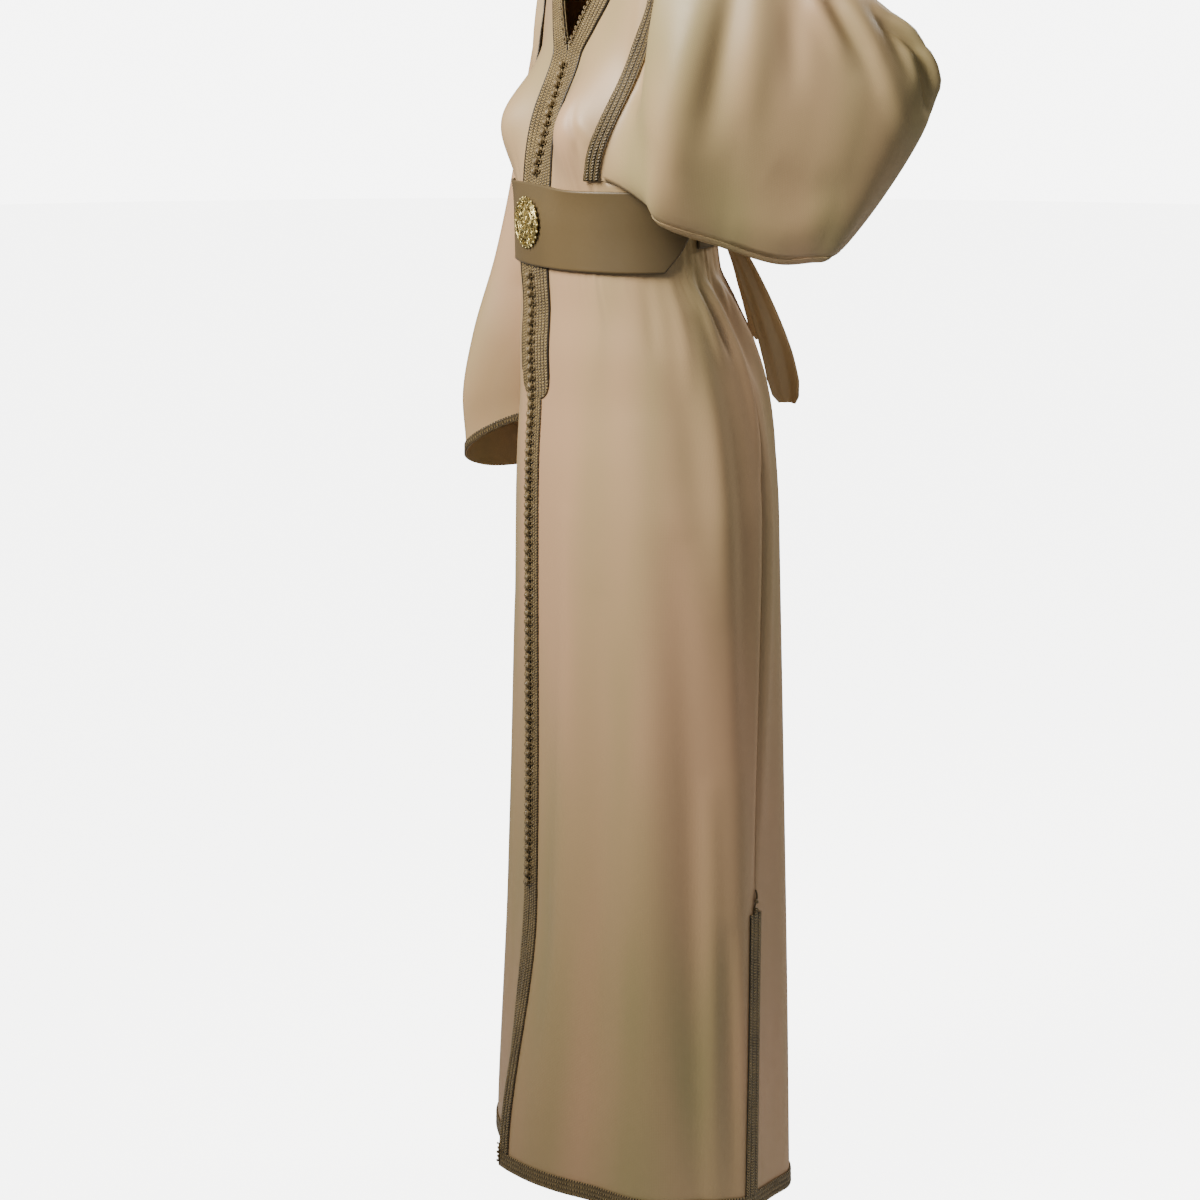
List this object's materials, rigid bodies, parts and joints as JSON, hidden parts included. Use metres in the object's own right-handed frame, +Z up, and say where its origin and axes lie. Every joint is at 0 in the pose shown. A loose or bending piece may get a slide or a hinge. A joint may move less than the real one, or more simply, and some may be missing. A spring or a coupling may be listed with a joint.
{
  "type": "kaftan",
  "caption": "Long belted kaftan with wide bell sleeves, plaited braid bands, a buttoned centre front, side slits and a tied sash, worn open at the hem.",
  "frame": {"origin": "on the wearer's body axis at shoulder level, where the garment is held up", "axes": "+Z up along the body, front towards -Y, the wearer's left towards +X"},
  "size_m": [0.585, 0.3742, 1.3945],
  "materials": {
    "satin": "satin",
    "braid": "matte",
    "belt": "satin",
    "sash": "satin",
    "gilt": "satin",
    "cord": "satin"
  },
  "bodies": {
    "root": {"front_left": "satin", "front_right": "satin", "back": "satin", "sleeve_left": "satin", "sleeve_right": "satin", "cuff_braid_left": "braid", "cuff_braid_right": "braid", "front_band_left": "braid", "front_band_right": "braid", "front_edge_trim_left": "braid", "front_edge_trim_right": "braid", "hem_trim_front_left": "braid", "hem_trim_front_right": "braid", "hem_trim_back": "braid", "slit_trim_front_left": "braid", "slit_trim_front_right": "braid", "slit_trim_back_left": "braid", "slit_trim_back_right": "braid", "armhole_braid_front_left": "braid", "armhole_braid_front_right": "braid", "armhole_braid_back_left": "braid", "armhole_braid_back_right": "braid", "belt_panel": "belt", "belt_back": "sash", "sash_knot": "sash", "sash_end_long": "sash", "sash_end_short": "sash", "brooch": "gilt", "buttons_upper": "cord", "buttons_lower": "cord"}
  },
  "joints": []
}
